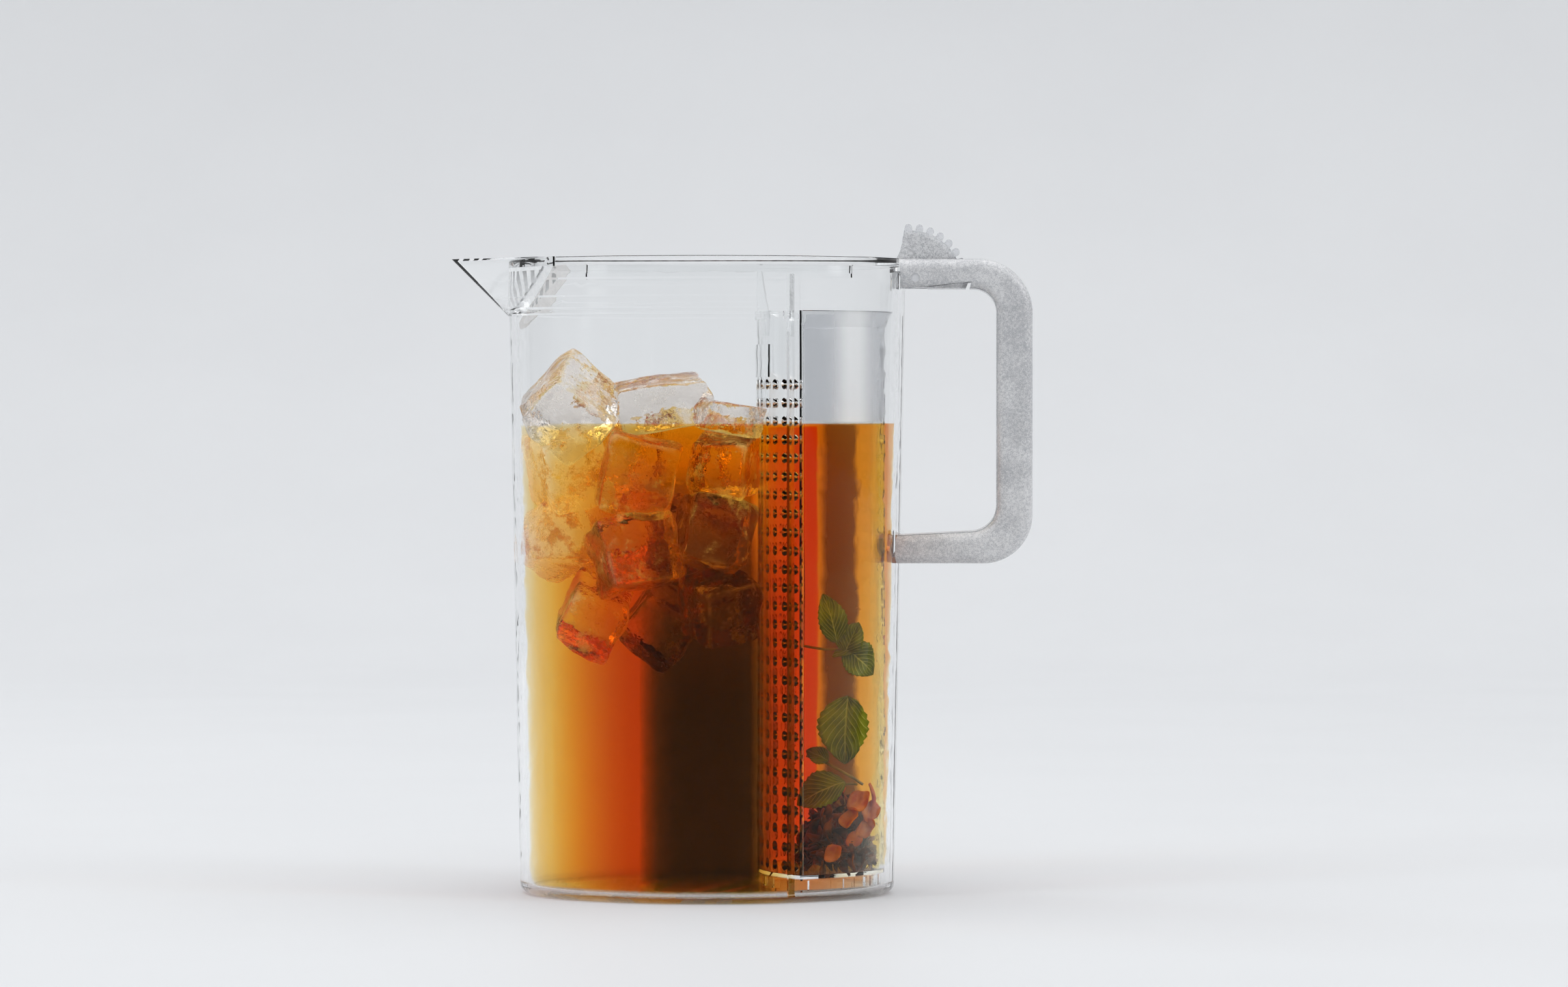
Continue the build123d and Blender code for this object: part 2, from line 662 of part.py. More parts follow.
def make_screen():
    solid = infuser_tube() & slab(0, seam_x - seam_gap, -BIG, BIG, 0, BIG)
    radius = infuser_front_radius
    bead_z = infuser_top_z - bead_height
    ring = Circle(radius + bead_out) - Circle(radius - infuser_wall)
    bead = extrude(Plane.XY.offset(bead_z) * Pos(front_centre_x, 0) * ring, amount=bead_height)
    bead &= slab(0, guide_x - guide_thick, -BIG, BIG, 0, BIG)
    plate = Circle(radius + plate_out) - Circle(radius - infuser_wall / 2)
    plate_height = plate_top_z - plate_bottom_z
    plate = extrude(Plane.XY.offset(plate_bottom_z) * Pos(front_centre_x, 0) * plate,
                    amount=plate_height)
    reach_y = radius * sin(plate_half_arc / radius)
    plate &= slab(0, guide_x, -reach_y, reach_y, 0, BIG)
    solid = solid + bead + plate
    dimples = []
    for column in range(hole_columns):
        arc = (column - (hole_columns - 1) / 2) * hole_pitch_s
        x, y, heading = front_spot(arc, 0)
        for row in range(hole_rows):
            dimples.append(dimple(x, y, hole_top_z - row * hole_pitch_z, heading))
    return solid - dimples


def make_rear_shell():
    top = infuser_top_z
    low = top - rim_flare_height
    a = infuser_half_length
    b = infuser_half_width
    wide_a = a + rim_flare
    wide_b = b + rim_flare
    behind = slab(seam_x, BIG, -BIG, BIG, 0, BIG)
    flare = loft([oval(a, b, low), oval(wide_a, wide_b, top)], ruled=True)
    flare -= loft([oval(a - infuser_wall, b - infuser_wall, low),
                   oval(wide_a - infuser_wall, wide_b - infuser_wall, top)], ruled=True)
    wall_part = infuser_tube() & behind & slab(0, BIG, -BIG, BIG, 0, low)
    holes = []
    for side in (-1, 1):
        turn = radians(side * back_hole_angle)
        x = a * cos(turn)
        y = b * sin(turn)
        heading = degrees(atan2(y / b ** 2, x / a ** 2))
        for row in range(hole_rows):
            holes.append(dimple(x, y, hole_top_z - row * hole_pitch_z, heading))
    return (wall_part - holes) + (flare & behind)


def make_infuser_base():
    z0 = floor + foot_gap
    tall = infuser_low_z - z0
    floor_z = infuser_low_z - infuser_floor
    ring = extrude(infuser_face(foot_inset, z0), amount=tall)
    hollow = infuser_face(foot_inset + infuser_wall, z0 - past)
    ring -= extrude(hollow, amount=floor_z - z0 + past)
    ring += extrude(infuser_face(0, floor_z), amount=infuser_floor)
    centre_x = (infuser_front_x + infuser_half_length) / 2
    window_z = z0 + window_low + window_height / 2
    for number in range(window_count):
        turn = 180.0 * number / window_count
        window = Box(BIG, window_width, window_height)
        ring -= Pos(centre_x, 0, window_z) * Rot(0, 0, turn) * window
    return ring


def make_grip_tab():
    z0 = infuser_top_z
    z1 = plate_under_z - grip_top_gap
    x0 = infuser_front_x + grip_set_back
    middle_z = (z0 + z1) / 2
    outline = [(x0, z0), (x0 + grip_thick_foot, z0),
               (x0 + grip_waist * grip_thick_foot, middle_z), (x0 + grip_thick_top, z1), (x0, z1)]
    tab = side_prism(outline, grip_half_width)
    tab = fillet(tab.edges().filter_by(Axis.Y).group_by(Axis.Z)[-1], grip_round)
    inside = front_centre_x - sqrt((infuser_front_radius - infuser_wall) ** 2
                                   - grip_half_width ** 2) + seam_gap
    return tab + slab(inside, inside + grip_thick_top, -grip_half_width, grip_half_width,
                      z0 - grip_tongue, z0 + weld)


# ---- build and write ------------------------------------------------------------------
jug_outer = make_jug_outer()
handle_block = make_handle_block()

pieces = {
    "jug_body": make_jug,
    "handle_shell": make_handle_shell,
    "handle_inner_cover": make_inner_cover,
    "hinge_pin": make_pin,
    "lid_plate": make_lid,
    "ice_comb": make_comb,
    "thumb_lever": make_lever,
    "infuser_screen": make_screen,
    "infuser_rear_shell": make_rear_shell,
    "infuser_base": make_infuser_base,
    "infuser_grip": make_grip_tab,
}
for name, make in pieces.items():
    shape = make()
    print(name, "valid", shape.is_valid, "solids", len(shape.solids()), round(shape.volume, 1))
    export_step(shape, f"parts/{name}.step")
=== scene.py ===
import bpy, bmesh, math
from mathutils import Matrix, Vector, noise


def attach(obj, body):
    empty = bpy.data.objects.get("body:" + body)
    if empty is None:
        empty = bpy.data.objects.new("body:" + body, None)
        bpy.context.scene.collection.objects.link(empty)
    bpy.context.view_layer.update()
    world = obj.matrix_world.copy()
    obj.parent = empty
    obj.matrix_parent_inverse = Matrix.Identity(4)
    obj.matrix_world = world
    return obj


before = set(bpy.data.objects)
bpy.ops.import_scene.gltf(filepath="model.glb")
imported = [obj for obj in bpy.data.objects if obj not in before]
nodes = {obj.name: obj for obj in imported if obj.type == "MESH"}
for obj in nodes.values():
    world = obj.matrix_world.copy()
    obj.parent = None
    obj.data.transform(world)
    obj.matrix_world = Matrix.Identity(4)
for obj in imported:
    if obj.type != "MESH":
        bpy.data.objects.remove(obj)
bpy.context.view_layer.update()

# %% [markdown]
# # An iced tea maker, dressed
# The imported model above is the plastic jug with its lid, comb, thumb lever, handle and infuser.
# It already has the right shapes and places, so this lesson adds what makes it read as a real
# jug: clear and frosted plastics, cold tea, ice, mint and wet tea leaves, and a quiet studio.
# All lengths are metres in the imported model's own frame: +X handle, -X spout, +Z up.

MM = 0.001


def put(name, data):
    """An object for the data, linked into the scene."""
    made = bpy.data.objects.new(name, data)
    bpy.context.collection.objects.link(made)
    return made


# %% [markdown]
# ## Camera and studio
# The jug is seen from just under its rim, a little from the handle's side, with a long lens
# that keeps its two walls nearly parallel. A floor that curves up into a wall has no edge
# behind a clear object, so nothing but light shows through the plastic.

# %% Camera
camera_data = bpy.data.cameras.new("camera")
camera_data.lens = 127.4
camera_data.sensor_width = 36.0
camera = put("camera", camera_data)
camera.location = (0.100, -2.150, 0.188)
look_at = Vector((0.0299, 0.0, 0.1548))
camera.rotation_euler = (look_at - camera.location).to_track_quat("-Z", "Y").to_euler()
bpy.context.scene.camera = camera
print("camera", camera.location[:], "lens", camera_data.lens)


# %% [markdown]
# ## One way to write shader maths
# A procedural material is a graph of small nodes. Written out link by link it is long and hard
# to read, so a wire (one output socket) is wrapped in a small class that knows + - * and >.
# Everything else goes through one method that takes a node's type, settings and sockets.

# %% Wires and trees
class Wire:
    """One output socket, usable in a Python expression."""

    def __init__(self, tree, socket):
        self.tree = tree
        self.socket = socket

    def __add__(self, other):
        return self.tree.maths("ADD", self, other)

    def __radd__(self, other):
        return self.tree.maths("ADD", other, self)

    def __sub__(self, other):
        return self.tree.maths("SUBTRACT", self, other)

    def __rsub__(self, other):
        return self.tree.maths("SUBTRACT", other, self)

    def __mul__(self, other):
        return self.tree.maths("MULTIPLY", self, other)

    def __rmul__(self, other):
        return self.tree.maths("MULTIPLY", other, self)

    def __gt__(self, other):
        return self.tree.maths("GREATER_THAN", self, other)

    def clip(self):
        return self.tree.node("ShaderNodeClamp", {}, {"Value": self})["Result"]

    def steps(self, low, high, to_low=0.0, to_high=1.0):
        """Smooth change from to_low to to_high while the value goes from low to high."""
        settings = {"interpolation_type": "SMOOTHSTEP"}
        sockets = {"Value": self, "From Min": low, "From Max": high,
                   "To Min": to_low, "To Max": to_high}
        return self.tree.node("ShaderNodeMapRange", settings, sockets)["Result"]


class Outputs:
    """The outputs of one node, by name or number."""

    def __init__(self, tree, made):
        self.tree = tree
        self.made = made

    def __getitem__(self, key):
        return Wire(self.tree, self.made.outputs[key])


class Tree:
    """A node tree under construction."""

    def __init__(self, nodes_of):
        self.tree = nodes_of

    def node(self, kind, settings, sockets):
        made = self.tree.nodes.new(kind)
        for name, value in settings.items():
            setattr(made, name, value)
        for name, value in sockets.items():
            socket = made.inputs[name]
            if isinstance(value, Wire):
                self.tree.links.new(value.socket, socket)
            elif getattr(socket, "type", "") == "RGBA" and len(value) == 3:
                socket.default_value = (*value, 1.0)
            else:
                socket.default_value = value
        return Outputs(self, made)

    def maths(self, operation, a, b):
        return self.node("ShaderNodeMath", {"operation": operation}, {0: a, 1: b})[0]


class Finish(Tree):
    """A material whose look is built from nodes."""

    def __init__(self, name):
        self.material = bpy.data.materials.new(name)
        self.material.use_nodes = True
        self.material.node_tree.nodes.clear()
        super().__init__(self.material.node_tree)
        self.place = self.node("ShaderNodeTexCoord", {}, {})["Object"]

    def grain(self, scale, detail=2.0, rough=0.5):
        """Noise from 0 to 1; scale is grains per metre."""
        sockets = {"Vector": self.place, "Scale": scale, "Detail": detail, "Roughness": rough}
        return self.node("ShaderNodeTexNoise", {}, sockets)["Fac"]

    def cells(self, scale):
        """Distance to the nearest of many scattered points."""
        sockets = {"Vector": self.place, "Scale": scale}
        return self.node("ShaderNodeTexVoronoi", {}, sockets)["Distance"]

    def axis(self, number, of=None):
        parts = self.node("ShaderNodeSeparateXYZ", {}, {"Vector": of or self.place})
        return parts[number]

    def blend(self, amount, a, b):
        """Colour a where amount is 0, colour b where it is 1."""
        made = self.node("ShaderNodeMix", {"data_type": "RGBA"}, {"Factor": amount, 6: a, 7: b})
        return made[2]

    def bump(self, height, strength, distance):
        sockets = {"Height": height, "Strength": strength, "Distance": distance}
        return self.node("ShaderNodeBump", {}, sockets)["Normal"]

    def mix(self, amount, a, b):
        """Shader a where amount is 0, shader b where it is 1."""
        return self.node("ShaderNodeMixShader", {}, {"Fac": amount, 1: a, 2: b})["Shader"]

    def plastic(self, sockets):
        return self.node("ShaderNodeBsdfPrincipled", {}, sockets)["BSDF"]

    def clear(self, colour):
        return self.node("ShaderNodeBsdfTransparent", {}, {"Color": colour})["BSDF"]

    def lets_lamps_in(self, shader, tint):
        """Lamps shine through the piece, so that what it holds isn't in the dark."""
        shadow = self.node("ShaderNodeLightPath", {}, {})["Is Shadow Ray"]
        return self.mix(shadow, shader, self.clear(tint))

    def done(self, surface, volume=None):
        sockets = {"Surface": surface}
        if volume:
            sockets["Volume"] = volume
        self.node("ShaderNodeOutputMaterial", {}, sockets)
        print("finish", self.material.name, len(self.tree.nodes), "nodes")
        return self.material


# %% [markdown]
# ## Small helpers for meshes
# Each new piece ends as one mesh whose object sits at the origin, unturned, with its place in
# its points. Then its pattern stays put when the piece moves with its body.

# %% Mesh helpers
def shade_faces(mesh, smooth=True):
    for face in mesh.polygons:
        face.use_smooth = smooth


def piece(name, points, faces, material, smooth=True):
    mesh = bpy.data.meshes.new(name)
    mesh.from_pydata(points, [], faces)
    mesh.materials.append(material)
    shade_faces(mesh, smooth)
    mesh.validate()
    return put(name, mesh)


def outward(made):
    """Points every face outwards, once doubled points are merged."""
    shape = bmesh.new()
    shape.from_mesh(made.data)
    bmesh.ops.remove_doubles(shape, verts=shape.verts, dist=0.01 * MM)
    bmesh.ops.recalc_face_normals(shape, faces=shape.faces)
    shape.to_mesh(made.data)
    shape.free()
    return made


def settle(made):
    """Applies the object's modifiers to its mesh."""
    graph = bpy.context.evaluated_depsgraph_get()
    mesh = bpy.data.meshes.new_from_object(made.evaluated_get(graph))
    made.modifiers.clear()
    made.data = mesh
    return made


def thicken(made, thickness):
    """Gives a sheet its thickness, half of it on each side."""
    thick = made.modifiers.new("thick", "SOLIDIFY")
    thick.thickness = thickness * MM
    thick.offset = 0.0
    return settle(made)


def mark_points(mesh, uv_of):
    """Writes a pair of numbers for each point into the UV map, for the finish to read."""
    layer = mesh.uv_layers.new(name="UVMap")
    for loop in mesh.loops:
        layer.data[loop.index].uv = uv_of[loop.vertex_index]


def dome_faces(rings, sectors):
    """Faces over one centre point and the rings of points round it."""
    faces = [(0, 1 + k, 1 + (k + 1) % sectors) for k in range(sectors)]
    for ring in range(rings - 1):
        a, b = 1 + ring * sectors, 1 + (ring + 1) * sectors
        for k in range(sectors):
            n = (k + 1) % sectors
            faces.append((a + k, b + k, b + n, a + n))
    return faces


def give(node_name, material):
    """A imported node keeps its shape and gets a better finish."""
    data = nodes[node_name].data
    if not data.materials:
        data.materials.append(material)
    for number in range(len(data.materials)):
        data.materials[number] = material


# %% [markdown]
# ## Floor and wall
# The floor runs flat under the jug and then bends up into the wall behind it, so there is no
# line where they meet. A very faint mottle stops it from looking like an empty void.

# %% Floor
floor_finish = Finish("floor_paint")
mottle = floor_finish.grain(6.0, 3.0)
# Painted light and shade: the floor is painted darker in front and lighter towards and up the wall
# behind it.
far = floor_finish.axis(1).steps(-0.5, 2.6)
shade = floor_finish.blend(far, (0.68, 0.69, 0.70), (0.86, 0.87, 0.88))
shade = floor_finish.blend(mottle.steps(0.3, 0.7) * 0.04, shade, (0.5, 0.5, 0.52))
floor_paint = floor_finish.done(floor_finish.plastic({
    "Base Color": shade, "Roughness": 0.55, "Specular IOR Level": 0.3}))

floor_half, floor_front, bend_start, bend_radius, wall_top = 4.0, -3.2, 1.6, 1.2, 3.5
bend_steps = 16
profile = [(floor_front, 0.0), (bend_start, 0.0)]
for step in range(1, bend_steps + 1):
    turn = math.radians(90 * step / bend_steps)
    profile.append((bend_start + bend_radius * math.sin(turn),
                    bend_radius * (1 - math.cos(turn))))
profile.append((bend_start + bend_radius, wall_top))
points = [(side * floor_half, y, z) for y, z in profile for side in (-1, 1)]
faces = [(2 * i, 2 * i + 1, 2 * i + 3, 2 * i + 2) for i in range(len(profile) - 1)]
backdrop = piece("floor_and_wall", points, faces, floor_paint)
print("floor", len(faces), "faces")

# %% [markdown]
# ## Soft light
# A clear jug is drawn by what it mirrors and bends. Tall soft lamps at both sides draw the
# bright lines down its walls, one above lights the lid and the teeth, and an even sky fills
# the rest at a level where a colour looks as it is written.

# %% Lamps and sky
def lamp(name, place, target, width, height, watts):
    data = bpy.data.lights.new(name, "AREA")
    data.shape = "RECTANGLE"
    data.size = width
    data.size_y = height
    data.energy = watts
    made = put(name, data)
    made.location = place
    turn = (Vector(target) - Vector(place)).to_track_quat("-Z", "Y")
    made.rotation_euler = turn.to_euler()


middle = (0.0, 0.0, 0.13)
lamp("lamp_left", (-1.0, -0.7, 0.8), middle, 0.3, 1.3, 3.6)
lamp("lamp_right", (1.1, -0.4, 0.8), middle, 0.25, 1.3, 3.0)
lamp("lamp_back_left", (-1.3, 0.9, 0.9), middle, 0.3, 1.2, 2.4)
lamp("lamp_above", (0.1, 0.1, 1.7), middle, 1.2, 1.2, 3.0)

# The sky is darker low in front, so the jug's front doesn't mirror a white sheet.
world = bpy.data.worlds.new("studio")
bpy.context.scene.world = world
world.use_nodes = True
world.node_tree.nodes.clear()
sky = Tree(world.node_tree)
heading = sky.node("ShaderNodeTexCoord", {}, {})["Generated"]
parts = sky.node("ShaderNodeSeparateXYZ", {}, {"Vector": heading})
upward = parts[2]
front_dark = (0 - parts[1]).steps(0.25, 0.8) * upward.steps(0.12, 0.55, 1.0, 0.0)
level = upward.steps(-0.05, 0.75, 0.34, 1.2) * (1 - 0.92 * front_dark)
glow = sky.node("ShaderNodeBackground", {}, {"Color": (0.97, 0.98, 1.0), "Strength": level})
sky.node("ShaderNodeOutputWorld", {}, {"Surface": glow["Background"]})
scene = bpy.context.scene
scene.view_settings.view_transform = "Standard"
# A ray crosses both walls, the infuser, several cubes and the tea before it leaves the jug.
scene.cycles.max_bounces = 26
scene.cycles.transmission_bounces = 24
scene.cycles.glossy_bounces = 6
scene.cycles.diffuse_bounces = 3
scene.cycles.transparent_max_bounces = 40
print("lamps", len(bpy.data.lights))

# %% [markdown]
# ## Clear plastic
# The jug, lid, screen and base are polished clear plastic. It bends light like glass, a little
# less. Moulded plastic is never optically flat, so a faint slow ripple moves its highlights,
# and tiny scuffs change its roughness. Each wall also mirrors the pale room, which would veil
# the tea, so the mirrored share is turned down. The infuser's rear shell is hazier. Above the
# tea its haze is grey, and white in one upright band, a painted highlight of a lamp's strip;
# under the tea its far side is painted smoky grey-brown, which is painted shade.


# %% Clear plastic
tea_level = 182.0                             # height of the tea, mm
# The first band is a painted highlight and the second is painted shade, both on the infuser's rear
# shell.
painted_highlight_band = (0.044, 0.056, 0.058, 0.067)     # X where it starts, is full, fades and ends, m
painted_shade_band = (0.042, 0.047, 0.057, 0.0605)


def band(value, zone, after=0.0):
    """0 before the zone, 1 inside it and after behind it, with soft edges."""
    start, full, fades, end = zone
    return value.steps(start, full) * value.steps(fades, end, 1.0, after)


def clear_plastic(name, tint, haze, ripple):
    finish = Finish(name)
    slow = finish.grain(14.0, 1.0)
    fine = finish.grain(420.0, 4.0, 0.6)
    normal = finish.bump(slow, ripple, 1.5 * MM)
    rough = fine.steps(0.45, 0.75, 0.004, 0.014)
    glass = finish.plastic({"Base Color": tint, "Roughness": rough, "IOR": 1.49,
                            "Specular Tint": (0.1, 0.1, 0.1),
                            "Transmission Weight": 1.0, "Normal": normal})
    surface = finish.lets_lamps_in(glass, (0.93, 0.94, 0.95))
    if haze:
        dry = finish.axis(2).steps((tea_level - 1.0) * MM, (tea_level + 1.0) * MM)
        along = finish.axis(0)
        # Above the tea one upright band is a painted highlight; under the tea, on the far side,
        # another is painted shade.
        painted_highlight = band(along, painted_highlight_band, 0.2)
        painted_shade = band(along, painted_shade_band)
        far_side = finish.axis(1).steps(-0.004, 0.004)
        amount = dry * (0.8 + painted_highlight) * haze + (1 - dry) * painted_shade * far_side * 2.4 * haze
        # Painted highlight: white in the upright band; elsewhere above the tea the haze is grey.
        above = finish.blend(painted_highlight, (0.36, 0.37, 0.40), (1.0, 1.0, 1.0))
        # Painted shade: dark grey-brown haze under the tea, on the shell's far side.
        colour = finish.blend(dry, (0.22, 0.22, 0.18), above)
        haze_and_painted_light = finish.plastic({"Base Color": colour, "Roughness": 0.35})
        surface = finish.mix(amount, surface, haze_and_painted_light)
    return finish.done(surface)


polished = clear_plastic("polished_clear", (0.985, 0.99, 0.99), 0.0, 0.012)
# The hazed finish carries the rear shell's painted highlight and painted shade.
hazed_and_painted = clear_plastic("hazed_clear", (0.97, 0.975, 0.98), 0.26, 0.012)
for name in ("jug_body", "lid_plate", "infuser_screen", "infuser_base", "infuser_grip"):
    give(name, polished)
give("infuser_rear_shell", hazed_and_painted)


# %% [markdown]
# ## Frosted plastic
# The handle and the thumb lever are moulded in a cloudy plastic full of fine glittering
# grains, like packed snow. Two sizes of noise speckle its colour and its surface, and part of
# the light still passes through a rough glass. The lever's teeth are thin, so they are clearer:
# its frost thins out between two radii round the centre of the toothed sector.

# %% Frosted plastic
def frosted_plastic(name, light, dark, through, grain_size, clear_rim=None):
    """clear_rim is a centre (x, z) and two radii between which the frost thins out."""
    finish = Finish(name)
    fine = finish.grain(1.0 / (grain_size * MM), 3.0, 0.7)
    coarse = finish.grain(0.35 / (grain_size * MM), 2.0, 0.6)
    clouds = finish.grain(60.0, 2.0).steps(0.35, 0.65)
    speckle = (0.62 * fine + 0.34 * coarse + 0.04 * clouds).steps(0.38, 0.62)
    colour = finish.blend(speckle, dark, light)
    normal = finish.bump(fine, 0.35, 0.25 * MM)
    body = finish.plastic({"Base Color": colour, "Roughness": speckle.steps(0.0, 1.0, 0.5, 0.3),
                           "Normal": normal, "Coat Weight": 0.5})
    glass = finish.plastic({"Base Color": (0.93, 0.94, 0.96), "Roughness": 0.14, "IOR": 1.49,
                            "Transmission Weight": 1.0, "Normal": finish.bump(coarse, 0.2, MM)})
    share = clouds.steps(0.0, 1.0, through, 0.8 * through)
    if clear_rim:
        (x, z), start, end = clear_rim
        away_x = finish.axis(0) - x * MM
        away_z = finish.axis(2) - z * MM
        far = finish.node("ShaderNodeMath", {"operation": "SQRT"}, {
            0: away_x * away_x + away_z * away_z})[0].steps(start * MM, end * MM)
        share = share + far * (1 - share) * 0.8
    return finish.done(finish.mix(share, body, glass))


clear_teeth = ((79.1, 236.5), 18.6, 20.4)     # centre (x, z) and the two radii, mm
frosted = frosted_plastic("frosted_snow", (0.99, 0.99, 0.99), (0.56, 0.57, 0.6), 0.34, 0.36)
toothed = frosted_plastic("frosted_lever", (0.98, 0.985, 0.99), (0.45, 0.46, 0.49), 0.4, 0.36,
                          clear_teeth)
comb_white = frosted_plastic("comb_frost", (0.98, 0.985, 0.99), (0.88, 0.89, 0.9), 0.1, 0.9)
cover_frost = frosted_plastic("cover_frost", (0.95, 0.955, 0.97), (0.66, 0.68, 0.7), 0.5, 0.5)
pin_white = frosted_plastic("pin_satin", (0.8, 0.81, 0.83), (0.7, 0.71, 0.73), 0.1, 0.9)
give("handle_shell", frosted)
give("thumb_lever", toothed)
give("ice_comb", comb_white)
give("handle_inner_cover", cover_frost)
give("hinge_pin", pin_white)

# %% [markdown]
# ## Cold tea
# Tea is coloured by depth: a thin edge is gold, a thick middle is brown.
# A closed body of tea takes a share of red, green and blue out of the light for every
# millimetre that it crosses. Towards the infuser it is made stronger, and there two wedges of
# it are painted shade that darkens the middle of the jug. So seven bodies share the work: where
# they overlap, each takes its own share. Their sides are left clear and don't bend light, and
# only their level top shines.


# %% Tea finish
top_skin = 1.2         # only what lies this near the level can be the shining top, mm


def tea_finish(name, loss):
    """loss is how much red, green and blue go missing per metre of depth."""
    finish = Finish(name)
    up = finish.axis(2, finish.node("ShaderNodeNewGeometry", {}, {})["Normal"])
    shine = finish.node("ShaderNodeFresnel", {}, {"IOR": 1.33})["Fac"]
    ripple = finish.bump(finish.grain(90.0, 2.0), 0.2, 1.0 * MM)
    gloss = finish.node("ShaderNodeBsdfGlossy", {}, {
        "Color": (1.0, 0.97, 0.92), "Roughness": 0.05, "Normal": ripple})["BSDF"]
    top = (up > 0.5) * (finish.axis(2) > (tea_level - top_skin) * MM)
    surface = finish.mix(top * shine, finish.clear((1.0, 1.0, 1.0)), gloss)
    density = max(loss)
    colour = tuple(1 - share / density for share in loss)
    volume = finish.node("ShaderNodeVolumeAbsorption", {}, {
        "Color": colour, "Density": density})["Volume"]
    return finish.done(surface, volume)


tea_gold = tea_finish("tea_gold", (1.6, 13.0, 52.0))
tea_orange = tea_finish("tea_orange", (4.0, 19.0, 60.0))
tea_brown = tea_finish("tea_brown", (28.0, 16.0, 34.0))
tea_amber = tea_finish("tea_amber", (1.4, 19.0, 170.0))
tea_limb = tea_finish("tea_limb", (5.0, 42.0, 200.0))
tea_red = tea_finish("tea_red", (2.0, 19.0, 40.0))

# %% [markdown]
# The jug is an oval that leans outwards by about a degree. The tea follows its inner wall at a
# small distance, and leaves out the round front of the infuser. Both curves are sampled and
# joined into one outline at each height, and the outlines are skinned into a closed body.

# %% Outlines of the jug and the infuser
LEAN = math.tan(math.radians(1.04))
inner_long, inner_wide = 69.5, 54.1      # inner half length and width at the table, mm
tea_gap = 1.2
front_x, front_radius = 86.0, 66.5       # centre and radius of the infuser's bulging front
shell_long, shell_wide = 68.8, 53.4


def oval_point(long, wide, turn):
    return (long * math.cos(turn), wide * math.sin(turn))


def crossing(long, wide, radius):
    """Angle at which the oval crosses the circle of the infuser's front."""
    low, high = 0.0, math.pi
    for _ in range(50):
        turn = (low + high) / 2
        x, y = oval_point(long, wide, turn)
        if math.hypot(x - front_x, y) < radius:
            low = turn
        else:
            high = turn
    return low


def arc_of_front(radius, wide_y, count):
    """Points of the front's circle from one side to the other."""
    end = math.asin(wide_y / radius)
    turns = [end - 2 * end * i / count for i in range(count + 1)]
    return [(front_x - radius * math.cos(t), radius * math.sin(t)) for t in turns]


def main_outline(z, inset):
    """The jug's inside in front of the infuser."""
    long = inner_long + LEAN * z - inset
    wide = inner_wide + LEAN * z - inset
    radius = front_radius + 0.4
    start = crossing(long, wide, radius)
    back = [oval_point(long, wide, start + (2 * math.pi - 2 * start) * i / 96)
            for i in range(97)]
    front = arc_of_front(radius, -back[-1][1], 48)[::-1]
    return back + front[1:-1]


def infuser_outline(inset):
    """The infuser's inside, which is the same at every height."""
    long = shell_long - inset
    wide = shell_wide - inset
    radius = front_radius - inset
    start = crossing(long, wide, radius)
    back = [oval_point(long, wide, -start + 2 * start * i / 80) for i in range(81)]
    front = arc_of_front(radius, back[-1][1], 48)
    return back + front[1:-1]


def skin(name, rings, material):
    """Closed body over outlines of the same number of points, lowest first."""
    count = len(rings[0][1])
    points = [(x * MM, y * MM, z * MM) for z, ring in rings for x, y in ring]
    faces = []
    for level in range(len(rings) - 1):
        for i in range(count):
            j = (i + 1) % count
            a, b = level * count, (level + 1) * count
            faces.append((a + i, a + j, b + j, b + i))
    faces.append(tuple(reversed(range(count))))
    faces.append(tuple((len(rings) - 1) * count + i for i in range(count)))
    return outward(piece(name, points, faces, material, smooth=False))


meeting = crossing(shell_long, shell_wide, front_radius)
print("front meets back at", round(math.degrees(meeting), 1), "degrees")

# %% [markdown]
# The jug and the infuser each hold a body of pale tea. Two thin ones are redder: a strip right
# behind the screen, whose funnels it colours, and a plate of tea under the infuser's floor.

# %% Tea bodies
top_round = 0.6        # the top edge turns in by top_inset over this height, mm
top_inset = 0.5
low_rings = [(3.4, 4.0), (4.0, 2.4), (6.0, tea_gap + 0.3), (9.0, tea_gap)]   # height, inset
heights = [30, 60, 90, 120, 150, tea_level - top_round]
rings = [(z, main_outline(z, inset)) for z, inset in low_rings]
rings += [(z, main_outline(z, tea_gap)) for z in heights]
rings.append((tea_level, main_outline(tea_level, tea_gap + top_inset)))
tea_main = skin("tea_in_jug", rings, tea_gold)

inside_low, inside_gap = 10.7, 1.8
rings = [(inside_low, infuser_outline(inside_gap)),
         (tea_level - top_round, infuser_outline(inside_gap)),
         (tea_level, infuser_outline(inside_gap + top_inset))]
tea_inside = skin("tea_in_infuser", rings, tea_amber)

under_rings = [(3.6, 5.0), (8.6, 3.2)]        # height, inset
tea_under = skin("tea_under_infuser",
                 [(z, infuser_outline(inset)) for z, inset in under_rings], tea_red)

strip_low, strip_top, strip_gap, strip_end = 11.5, tea_level - 1.5, 2.4, 43.0
screen_part = [spot for spot in infuser_outline(strip_gap) if spot[0] < strip_end]
tea_by_screen = skin("tea_by_screen", [(strip_low, screen_part), (strip_top, screen_part)],
                     tea_red)
print("tea inside", len(tea_inside.data.polygons), "faces")

# %% [markdown]
# The infuser stands upright and the jug's wall leans outwards, so a crescent of tea, thicker
# towards the top, lies between them. Seen along its edge it gives the jug its orange limb.

# %% Tea between the infuser and the wall
wall_film, shell_film = 0.4, 0.2       # gaps to the wall and to the shell, mm
horn_gap = 0.03                        # the crescent's horns end before the screen, radians


